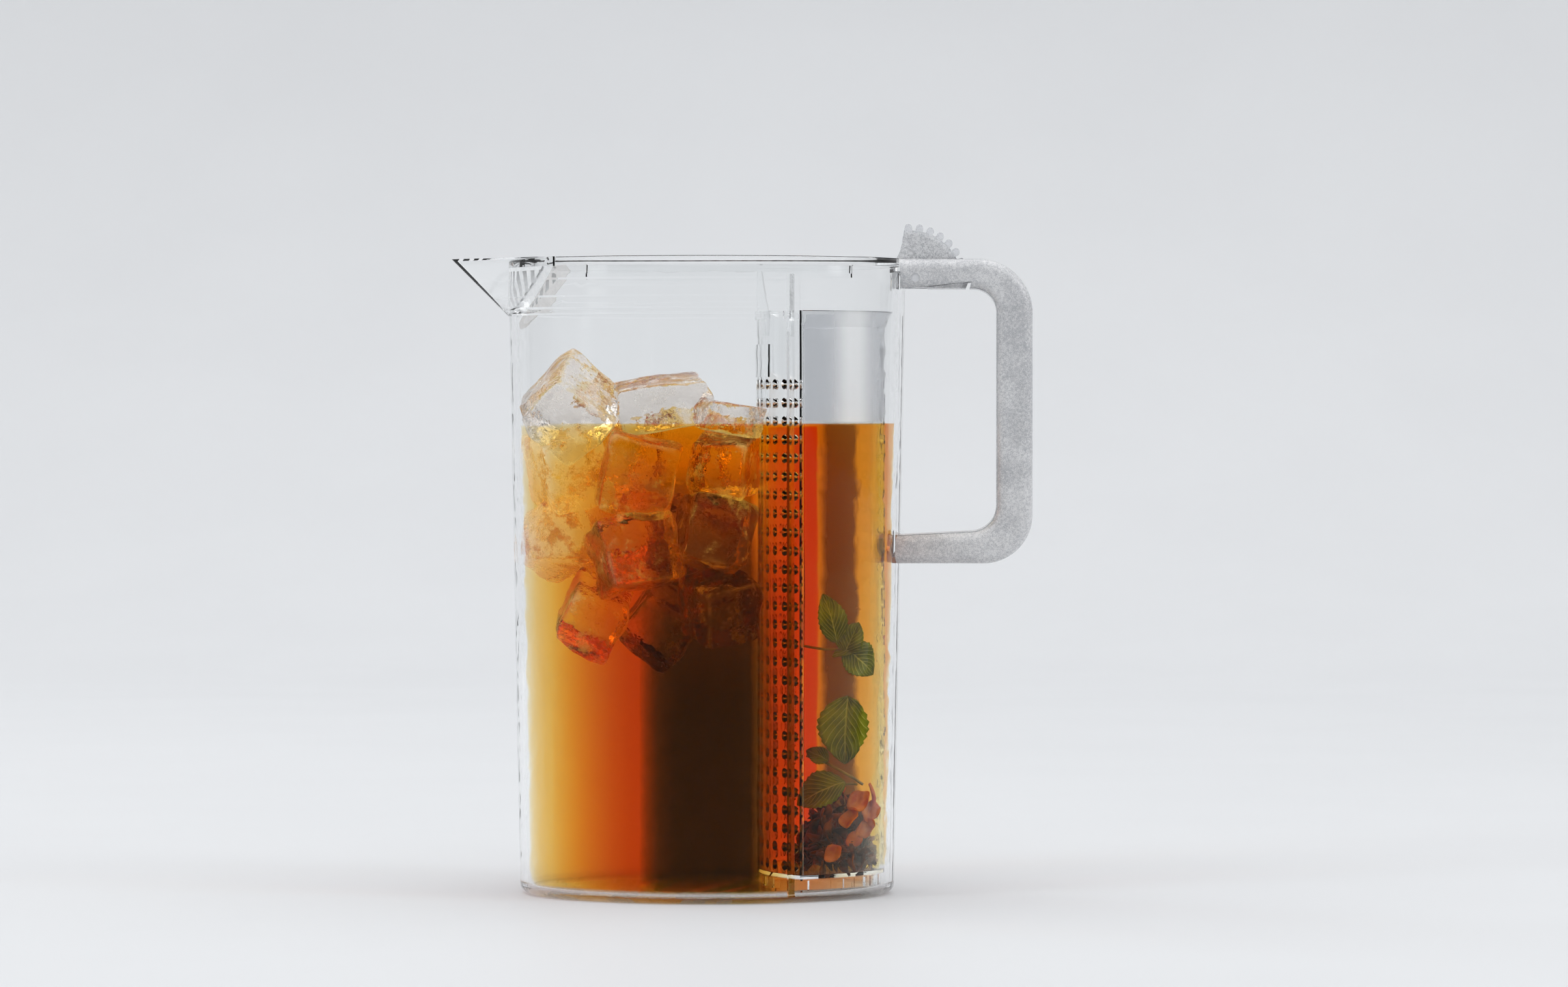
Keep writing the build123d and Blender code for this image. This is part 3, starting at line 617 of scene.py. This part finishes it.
def crescent_outline(z):
    """Out along the jug's wall and back along the infuser's shell."""
    outer_long = inner_long + LEAN * z - wall_film
    outer_wide = inner_wide + LEAN * z - wall_film
    turn = crossing(shell_long, shell_wide, front_radius) - horn_gap
    steps = [turn * (i / 30 - 1) for i in range(61)]
    outer = [oval_point(outer_long, outer_wide, step) for step in steps]
    inner = [oval_point(shell_long + shell_film, shell_wide + shell_film, step)
             for step in steps]
    return outer + inner[::-1]


crescent_heights = (12, 60, 120, tea_level)
tea_round = skin("tea_round_infuser", [(z, crescent_outline(z)) for z in crescent_heights],
                 tea_limb)
print("crescent", len(tea_round.data.polygons), "faces")

# %% [markdown]
# Two nested wedges of denser tea are painted shade that darkens the middle of the jug. The
# first starts as a thin edge near the spout and fills the jug's width towards the infuser, so
# gold turns slowly to orange. The second has a steep edge and turns orange to brown. Both get
# thin upwards, so the painted shade fades out towards the ice.


# %% Painted shade: darker tea towards the infuser
thin_edge = 0.3        # half width of a wedge's thin edge, mm


def wedge_outline(z, edge, full, end, keep, inside):
    """From a thin edge to the infuser's round front; keep is its share of the jug's width."""
    long = inner_long + LEAN * z - inside
    wide = keep * (inner_wide + LEAN * z - inside)
    radius = front_radius + inside
    far_x, far_y = oval_point(long, wide, crossing(long, wide, radius))
    if far_x > end:
        far_x, far_y = end, math.sqrt(radius ** 2 - (front_x - end) ** 2)
    near = []
    for i in range(15):
        x = edge + (far_x - edge) * i / 14
        ramp = min(1.0, (x - edge + 0.5) / (full - edge + 0.5))
        near.append((x, -max(thin_edge, ramp * wide * math.sqrt(1 - (x / long) ** 2))))
    front = arc_of_front(radius, far_y, 24)[::-1]
    return near + front + [(x, -y) for x, y in reversed(near)]


def wedge(name, edge, full, end, fade_from, fade_to, inside, material):
    """edge, full and end: where it starts, has the jug's whole width, and stops.

    It has its whole width up to fade_from and is nearly gone at fade_to.
    """
    heights = [3.8, 30.0] + [fade_from + (fade_to - fade_from) * i / 8 for i in range(9)]
    rings = []
    for z in heights:
        risen = max(0.0, (z - fade_from) / (fade_to - fade_from))
        keep = 1.0 - 0.97 * risen ** 1.3
        rings.append((z, wedge_outline(z, edge, full, end, keep, inside)))
    return skin(name, rings, material)


# Both wedges are painted shade: denser tea that darkens the middle of the jug.
orange_shade_wedge = wedge("tea_orange_part", edge=-60.0, full=-30.0, end=60.0,
               fade_from=110.0, fade_to=180.0, inside=2.1, material=tea_orange)
brown_shade_wedge = wedge("tea_brown_part", edge=-26.0, full=-15.0, end=21.5,
              fade_from=70.0, fade_to=165.0, inside=2.6, material=tea_brown)
tea_rides = ((tea_main, "jug"), (orange_shade_wedge, "jug"), (brown_shade_wedge, "jug"), (tea_inside, "infuser"),
             (tea_by_screen, "infuser"), (tea_under, "jug"), (tea_round, "jug"))
for made, body in tea_rides:
    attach(made, body)
    print(made.name, len(made.data.polygons), "faces")

# %% [markdown]
# ## Ice
# Ice is clear with white frost and cracks inside, so noise decides where light passes. Its
# edges are painted white, a painted highlight, so a UV map tells the finish how near each point
# is to an edge. Three finishes are enough: dry above the tea, tinted brownish as a painted
# reflection of the tea, wet in it, and pale by the spout's wall, where the tea is thin and the
# extra frost is a painted highlight.

# %% Ice finish
def ice_finish(name, bend, frosting, least, edge_highlight, tint, white):
    """Under tea, ice hardly bends light, because the tea bends it nearly as much."""
    finish = Finish(name)
    dents = finish.grain(95.0, 3.0, 0.6)
    cracks = finish.cells(60.0)
    frost = finish.grain(110.0, 5.0, 0.7).steps(least, least + 0.16)
    normal = finish.bump(dents + 0.5 * cracks, 0.9, 2.2 * MM)
    glass = finish.plastic({"Base Color": tint, "Roughness": 0.03, "IOR": bend,
                            "Transmission Weight": 1.0, "Normal": normal})
    # Painted highlight: white frost along each cube's edges.
    painted_edge_highlight = finish.axis(0, finish.node("ShaderNodeUVMap", {}, {})["UV"])
    painted_edge_highlight = painted_edge_highlight.steps(0.84, 1.0) * finish.grain(75.0, 3.0, 0.6).steps(0.46, 0.62) * edge_highlight
    snow = finish.plastic({"Base Color": white, "Roughness": 0.5, "Normal": normal})
    glow = finish.node("ShaderNodeBsdfTranslucent", {}, {"Color": white})["BSDF"]
    share = (frost * frosting + painted_edge_highlight).clip()
    mixed = finish.mix(share, glass, finish.mix(0.6, snow, glow))
    return finish.done(finish.lets_lamps_in(mixed, (0.95, 0.96, 0.98)))


# The dry ice's brownish glass tint is a painted reflection of the tea below it.
dry_ice = ice_finish("ice_above_tea", 1.31, 0.65, 0.52, 0.5, (0.84, 0.78, 0.73), (1.0, 1.0, 1.0))
wet_ice = ice_finish("ice_under_tea", 1.26, 0.5, 0.53, 0.6, (0.93, 0.95, 0.93), (1.0, 0.98, 0.9))
# A whiter copy of the wet ice: its extra frost is a painted highlight on the cubes by the spout's
# wall.
painted_highlight_ice = ice_finish("ice_by_the_wall", 1.26, 1.0, 0.4, 0.5, (1.0, 1.0, 1.0), (1.0, 1.0, 1.0))


# %% [markdown]
# Cubes from a tray are blocks with melted edges and hollows where they froze together. Each
# one is a cube cut into a grid, pulled towards a rounded block, and dented by noise, which is
# quicker than sculpting and gives the same cube every time. The tea bodies run on through the
# cubes: with the cubes cut out of them, the ice came out black.


# %% Ice cubes
# Up to this X the cubes take the whiter ice with its painted highlight.
painted_highlight_until = -48       # cubes by the spout's wall, up to this X, are the palest, mm


def ice_cube(number, centre, turns, size):
    shape = bmesh.new()
    bmesh.ops.create_cube(shape, size=2.0)
    bmesh.ops.subdivide_edges(shape, edges=shape.edges, cuts=7, use_grid_fill=True)
    shape.verts.index_update()
    seed = Vector((number * 3.7, number * 1.3, number * 2.1))
    turned = Matrix.Rotation(math.radians(turns[2]), 3, "Z")
    turned @= Matrix.Rotation(math.radians(turns[1]), 3, "Y")
    turned @= Matrix.Rotation(math.radians(turns[0]), 3, "X")
    nearness = {}
    for corner in shape.verts:
        p = corner.co.copy()
        nearness[corner.index] = (sorted(abs(v) for v in p)[1], 0.5)
        round_part = p.normalized() * 1.28
        p = p.lerp(round_part, 0.16 * max(0.0, p.length - 1.15) / 0.58)
        dent = noise.noise(p * 1.1 + seed) * 0.16 + noise.noise(p * 2.6 + seed) * 0.05
        p *= 1.0 + dent
        p = Vector((p.x * size[0], p.y * size[1], p.z * size[2])) / 2
        corner.co = (turned @ p + Vector(centre)) * MM
    mesh = bpy.data.meshes.new(f"ice_{number:02d}")
    shape.to_mesh(mesh)
    shape.free()
    mark_points(mesh, nearness)
    under = painted_highlight_ice if centre[0] < painted_highlight_until else wet_ice
    mesh.materials.append(under if centre[2] < tea_level else dry_ice)
    made = put(mesh.name, mesh)
    soft = made.modifiers.new("melted", "SUBSURF")
    soft.levels = soft.render_levels = 1
    settle(made)
    shade_faces(made.data)
    return made


cubes = [              # centre in mm, turns in degrees, size in mm
    ((-51, -18, 188), (38, 40, 20), (29, 29, 27)),
    ((-17, -14, 189.5), (6, -8, 12), (35, 30, 18)),
    ((9, -22, 184), (4, 10, 30), (20, 24, 12)),
    ((-54, -4, 165), (10, -14, 25), (25, 30, 30)),
    ((-54, -2, 137), (-12, 18, 50), (26, 30, 24)),
    ((-25, -22, 162), (8, 12, 8), (28, 26, 30)),
    ((-26, -24, 132), (-14, -10, 20), (30, 26, 27)),
    ((8, -22, 166), (12, 6, -12), (22, 26, 22)),
    ((4, -24, 140), (-8, 14, 16), (25, 26, 26)),
    ((6, -20, 112), (20, -12, 30), (24, 24, 24)),
    ((-43, -12, 108), (30, 25, 12), (23, 25, 24)),
    ((-42, 22, 172), (8, 20, -20), (30, 28, 28)),
    ((-8, 20, 170), (-10, 12, 28), (32, 30, 30)),
    ((-38, 24, 140), (18, -8, 40), (30, 28, 28)),
    ((-6, 18, 136), (14, 22, -18), (30, 30, 28)),
    ((-18, -6, 104), (25, 35, 10), (24, 26, 24)),
]
ice_pieces = [ice_cube(i + 1, *cube) for i, cube in enumerate(cubes)]
print("ice", len(ice_pieces), "cubes,", sum(len(c.data.polygons) for c in ice_pieces), "faces")

for made in ice_pieces:
    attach(made, "jug")

# %% [markdown]
# ## Mint
# Mint is dull green with paler veins. The leaf's UV map says where on the blade each point is,
# so a sine along it draws the side veins and a narrow band draws the midrib, and both follow
# every bend of the blade. Some light passes through, as it does through a thin leaf.

# %% Leaf finish
leaf = Finish("mint_leaf")
spot = leaf.node("ShaderNodeUVMap", {}, {})["UV"]
along = leaf.axis(0, spot)
across = leaf.node("ShaderNodeMath", {"operation": "ABSOLUTE"}, {0: leaf.axis(1, spot) - 0.5})[0]
wave = leaf.node("ShaderNodeMath", {"operation": "SINE"}, {0: (along - across * 0.9) * 50.0})[0]
veins = wave.steps(0.8, 1.0) * across.steps(0.45, 0.5, 1.0, 0.0)
midrib = across.steps(0.0, 0.035, 1.0, 0.0)
tone = leaf.grain(160.0, 3.0).steps(0.3, 0.7)
green = leaf.blend(tone, (0.11, 0.12, 0.005), (0.29, 0.30, 0.015))
green = leaf.blend((veins * 0.8 + midrib).clip() * 0.9, green, (0.66, 0.6, 0.12))
leaf_normal = leaf.bump(wave * 0.5 + leaf.grain(500.0, 2.0) * 0.4 - midrib, 0.6, 0.4 * MM)
leaf_skin = leaf.plastic({"Base Color": green, "Roughness": 0.5, "Normal": leaf_normal,
                          "Specular IOR Level": 0.15})
leaf_back = leaf.node("ShaderNodeBsdfTranslucent", {}, {"Color": (0.16, 0.26, 0.03)})["BSDF"]
leaf_green = leaf.done(leaf.mix(0.3, leaf_skin, leaf_back))


# %% [markdown]
# A mint leaf is an oval blade with small teeth, a sunken midrib and side veins that bulge the
# skin between them. A flat grid is bent into that shape row by row, then given its thickness.


# %% Leaves
teeth_count, teeth_size = 9, 0.14      # teeth along each side, as a share of the half width
puff_rows, puff_height = 8, 0.6        # skin bulging between the veins, mm
cup = 0.25                             # how far the sides rise, as a share of the half width
blade_thick = 0.35


def mint_leaf(name, base, tip, facing, width, curl=0.2):
    """A blade from base to tip whose upper side looks along facing."""
    base, tip = Vector(base), Vector(tip)
    length = (tip - base).length
    ahead = (tip - base).normalized()
    side = Vector(facing).cross(ahead).normalized()
    up = ahead.cross(side)
    rows, columns = 28, 14
    points, uvs = [], []
    for i in range(rows + 1):
        u = i / rows
        half = 0.5 * width * math.sin(math.pi * min(1.0, u ** 0.8)) ** 0.75
        teeth = 1.0 + teeth_size * (1.0 - (u * teeth_count) % 1.0)
        for j in range(columns + 1):
            v = 2 * j / columns - 1
            out = half * v * (teeth if abs(v) > 0.95 else 1.0)
            puff = puff_height * math.sin(math.pi * ((u - 0.45 * abs(v)) * puff_rows))
            puff = puff * abs(v) * (1 - abs(v))
            height = (cup * half * v * v + curl * length * math.sin(math.pi * u) * 0.5
                      + puff + 0.6 * noise.noise(Vector((u * 4, v * 3, length))))
            points.append((base + ahead * (u * length) + side * out + up * height) * MM)
            uvs.append((u, (v + 1) / 2))
    faces = []
    for i in range(rows):
        for j in range(columns):
            a = i * (columns + 1) + j
            faces.append((a, a + 1, a + columns + 2, a + columns + 1))
    made = piece(name, points, faces, leaf_green)
    mark_points(made.data, uvs)
    return thicken(made, blade_thick)


leaves = [             # base, tip, the way the upper side looks, width; lengths in mm
    mint_leaf("mint_a", (50, -30, 98.5), (45, -31, 117), (0.3, -1, 0.2), 10.5),
    mint_leaf("mint_b", (53, -27, 96), (64.5, -27, 86), (0.1, -1, 0.4), 13.5),
    mint_leaf("mint_b2", (53, -27, 94), (58.5, -28, 106), (-0.2, -1, 0.1), 11.0),
    mint_leaf("mint_b3", (57, -27, 95), (48.5, -28, 93), (0.0, -0.6, 0.8), 6.0),
    mint_leaf("mint_c", (54, -30, 78), (53, -30, 52), (-0.1, -1, 0.15), 19.0, 0.12),
    mint_leaf("mint_c2", (47, -28, 53), (39, -27, 57), (0.2, -1, 0.3), 6.5),
    mint_leaf("mint_e", (53, -29, 45), (36, -26, 36), (0.2, -0.8, 0.6), 14.0),
]


# %% [markdown]
# Stems are soft round tubes: a curve through a few points with a small bevel, made a mesh.

# %% Stems
def tube(name, points, radius, material):
    curve = bpy.data.curves.new(name, "CURVE")
    curve.dimensions = "3D"
    curve.bevel_depth = radius * MM
    curve.bevel_resolution = 3
    curve.use_fill_caps = True
    line = curve.splines.new("NURBS")
    line.points.add(len(points) - 1)
    for spot, place in zip(line.points, points):
        spot.co = (*(v * MM for v in place), 1.0)
    line.order_u = 3
    line.use_endpoint_u = True
    curve.materials.append(material)
    drawn = put(name, curve)
    graph = bpy.context.evaluated_depsgraph_get()
    mesh = bpy.data.meshes.new_from_object(drawn.evaluated_get(graph))
    bpy.data.objects.remove(drawn)
    shade_faces(mesh)
    return put(name, mesh)


stem = Finish("mint_stem")
stem_tone = stem.blend(stem.grain(220.0, 2.0).steps(0.3, 0.7), (0.16, 0.12, 0.03), (0.3, 0.2, 0.06))
stem_green = stem.done(stem.plastic({"Base Color": stem_tone, "Roughness": 0.4,
                                     "Normal": stem.bump(stem.grain(900.0, 2.0), 0.4, 0.2 * MM)}))
stem_routes = {        # radius, then the points of its route, mm
    "mint_stem_b": (0.5, [(38, -27, 97), (45, -27, 95.5), (52, -27, 96), (58, -27, 94.5)]),
    "mint_stem_c": (0.55, [(39, -27, 55), (45, -27, 53), (52, -28, 49), (60, -28, 44)]),
    "mint_stem_e": (0.5, [(36, -26, 36), (44, -28, 40), (53, -29, 45), (58, -29, 44)]),
}
leaves += [tube(name, route, radius, stem_green)
           for name, (radius, route) in stem_routes.items()]
print("mint", len(leaves), "pieces")

# %% [markdown]
# ## Wet tea leaves and petals
# Hundreds of curled shreds lie in a heap at the infuser's foot. They are dark and wet, with
# reddish parts, so one noise blends two browns and a finer one roughens the skin.

# %% Shred finish
shred = Finish("tea_shred")
shred_tone = shred.grain(140.0, 2.0).steps(0.35, 0.65)
tea_brown_tone = shred.blend(shred_tone, (0.035, 0.010, 0.004), (0.26, 0.075, 0.02))
shred_dark = shred.done(shred.plastic({
    "Base Color": tea_brown_tone, "Roughness": 0.5, "Specular IOR Level": 0.2,
    "Normal": shred.bump(shred.grain(1400.0, 2.0), 0.5, 0.15 * MM)}))


# %% [markdown]
# The shreds are much alike, so one twisted strip stands for all. It is scattered over four
# nested mounds that lend the heap its height and then vanish.


# %% One shred and the mounds
shred_thick = 0.4


def twisted_strip(name, length, width, twist, material):
    rows = 7
    points, faces = [], []
    for i in range(rows + 1):
        u = i / rows
        half = 0.5 * width * math.sin(math.pi * (0.12 + 0.76 * u))
        turn = twist * u
        bend = 0.22 * length * math.sin(math.pi * u)
        for v in (-1, 0, 1):
            y = half * v * math.cos(turn)
            z = bend + half * v * math.sin(turn) + 0.2 * half * (1 - v * v)
            points.append(((u - 0.5) * length * MM, y * MM, z * MM))
    for i in range(rows):
        for j in range(2):
            a = 3 * i + j
            faces.append((a, a + 1, a + 4, a + 3))
    return thicken(piece(name, points, faces, material), shred_thick)


def mound(name, centre, long, wide, low, tall):
    """A dome on the infuser's floor, kept inside the infuser's outline."""
    points = [(centre[0] * MM, centre[1] * MM, (low + tall) * MM)]
    rings, sectors = 6, 28
    for ring in range(1, rings + 1):
        r = ring / rings
        for k in range(sectors):
            turn = 2 * math.pi * k / sectors
            x = centre[0] + long * r * math.cos(turn)
            y = centre[1] + wide * r * math.sin(turn)
            lump = 2.5 * noise.noise(Vector((x, y, tall)) * 0.09)
            z = low + (tall + lump) * math.cos(r * math.pi / 2) ** 0.8
            points.append((x * MM, y * MM, z * MM))
    return piece(name, points, dome_faces(rings, sectors), shred_dark)


# %% [markdown]
# The tree below has named inputs, so its sizes are set from outside it. It throws points on the
# surface, puts one turned and sized shred on each, makes them real and gives them their finish.

# %% Geometry Nodes that scatter one piece over a surface
tree_inputs = {"Geometry": "Geometry", "Shred": "Object", "Count per square metre": "Float",
               "Smallest": "Float", "Largest": "Float", "Seed": "Int", "Finish": "Material"}
widest_turn = 6.28     # nearly a whole turn, radians


def scatter_tree(name):
    group = bpy.data.node_groups.new(name, "GeometryNodeTree")
    for label, kind in tree_inputs.items():
        group.interface.new_socket(label, in_out="INPUT", socket_type="NodeSocket" + kind)
    group.interface.new_socket("Geometry", in_out="OUTPUT", socket_type="NodeSocketGeometry")
    tree = Tree(group)
    given = tree.node("NodeGroupInput", {}, {})
    spots = tree.node("GeometryNodeDistributePointsOnFaces", {}, {
        "Mesh": given["Geometry"], "Density": given["Count per square metre"],
        "Seed": given["Seed"]})["Points"]
    shape = tree.node("GeometryNodeObjectInfo", {}, {"Object": given["Shred"]})["Geometry"]
    turn = tree.node("FunctionNodeRandomValue", {"data_type": "FLOAT_VECTOR"}, {
        0: (0.0, 0.0, 0.0), 1: (widest_turn,) * 3, "Seed": given["Seed"]})[0]
    size = tree.node("FunctionNodeRandomValue", {"data_type": "FLOAT"}, {
        2: given["Smallest"], 3: given["Largest"], "Seed": given["Seed"]})[1]
    many = tree.node("GeometryNodeInstanceOnPoints", {}, {
        "Points": spots, "Instance": shape, "Rotation": turn, "Scale": size})["Instances"]
    real = tree.node("GeometryNodeRealizeInstances", {}, {"Geometry": many})["Geometry"]
    dressed = tree.node("GeometryNodeSetMaterial", {}, {
        "Geometry": real, "Material": given["Finish"]})["Geometry"]
    tree.node("NodeGroupOutput", {}, {"Geometry": dressed})
    return group


def scatter(surface, group, values):
    """Runs the tree on the surface, which becomes the result as a plain mesh."""
    modifier = surface.modifiers.new("scatter", "NODES")
    modifier.node_group = group
    for item in group.interface.items_tree:
        if item.in_out == "INPUT" and item.name in values:
            modifier[item.identifier] = values[item.name]
    settle(surface)


scatter_group = scatter_tree("scatter_shreds")
strip = twisted_strip("one_shred", length=8.5, width=3.2, twist=2.2, material=shred_dark)
mound_heights_and_seeds = ((5.0, 3), (12.0, 7), (19.0, 11), (25.0, 17))
heap = []
for number, (tall, seed) in enumerate(mound_heights_and_seeds):
    base = mound(f"tea_leaves_{number + 1}", centre=(49.5, 0.0), long=14.5, wide=33.0,
                 low=13.0, tall=tall)
    scatter(base, scatter_group, {
        "Shred": strip, "Count per square metre": 42000.0, "Smallest": 0.5, "Largest": 1.3,
        "Seed": seed, "Finish": shred_dark})
    heap.append(base)
    print(base.name, len(base.data.polygons), "faces")
bpy.data.objects.remove(strip)

# %% [markdown]
# Dried petals swell in the tea. Each is a small cupped disc with a wavy edge, in red and
# orange, and they gather on the heap near the wall.

# %% Petals
petal = Finish("petal_red")
petal_tone = petal.grain(260.0, 3.0).steps(0.3, 0.7)
petal_colour = petal.blend(petal_tone, (0.55, 0.07, 0.012), (0.85, 0.26, 0.03))
petal_skin = petal.plastic({"Base Color": petal_colour, "Roughness": 0.5,
                            "Specular IOR Level": 0.2,
                            "Normal": petal.bump(petal.grain(700.0, 2.0), 0.5, 0.2 * MM)})
petal_back = petal.node("ShaderNodeBsdfTranslucent", {}, {"Color": (0.8, 0.2, 0.05)})["BSDF"]
petal_red = petal.done(petal.mix(0.35, petal_skin, petal_back))


petal_thick = 0.5


def cupped_petal(name, centre, size, facing, seed):
    facing = Vector(facing).normalized()
    side = facing.orthogonal().normalized()
    other = facing.cross(side)
    points = [Vector(centre) * MM]
    rings, sectors = 4, 18
    for ring in range(1, rings + 1):
        for k in range(sectors):
            turn = 2 * math.pi * k / sectors
            r = size * ring / rings * (1 + 0.2 * noise.noise(
                Vector((math.cos(turn), math.sin(turn), seed))))
            lift = 0.35 * size * (ring / rings) ** 2 * (1 + 0.7 * math.sin(3 * turn + seed))
            spot = side * (r * math.cos(turn)) + other * (0.7 * r * math.sin(turn))
            points.append((Vector(centre) + spot + facing * lift) * MM)
    return thicken(piece(name, points, dome_faces(rings, sectors), petal_red), petal_thick)


petal_places = [       # centre in mm, radius in mm, the way it faces
    ((58, -27, 37), 5.5, (0.2, -1, 0.6)), ((62, -20, 33), 5.0, (0.6, -1, 0.3)),
    ((55, -30, 31), 4.5, (-0.3, -1, 0.4)), ((60, -22, 27), 4.5, (0.4, -1, -0.1)),
    ((49, -34, 18), 4.2, (-0.2, -1, 0.2)), ((56, -24, 22), 3.6, (0.2, -1, 0.5)),
    ((50, 10, 38), 4.5, (0.1, 0.2, 1)), ((46, 24, 32), 4.0, (-0.4, 0.5, 0.8)),
]
petals = [cupped_petal(f"petal_{i + 1}", *spot, i * 1.7) for i, spot in enumerate(petal_places)]
twig = tube("red_twig", [(62, -22, 44), (64.5, -22, 40), (63.5, -21, 35)], 0.7, petal_red)
for made in [*leaves, *heap, *petals, twig]:
    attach(made, "infuser")
print("petals", len(petals))
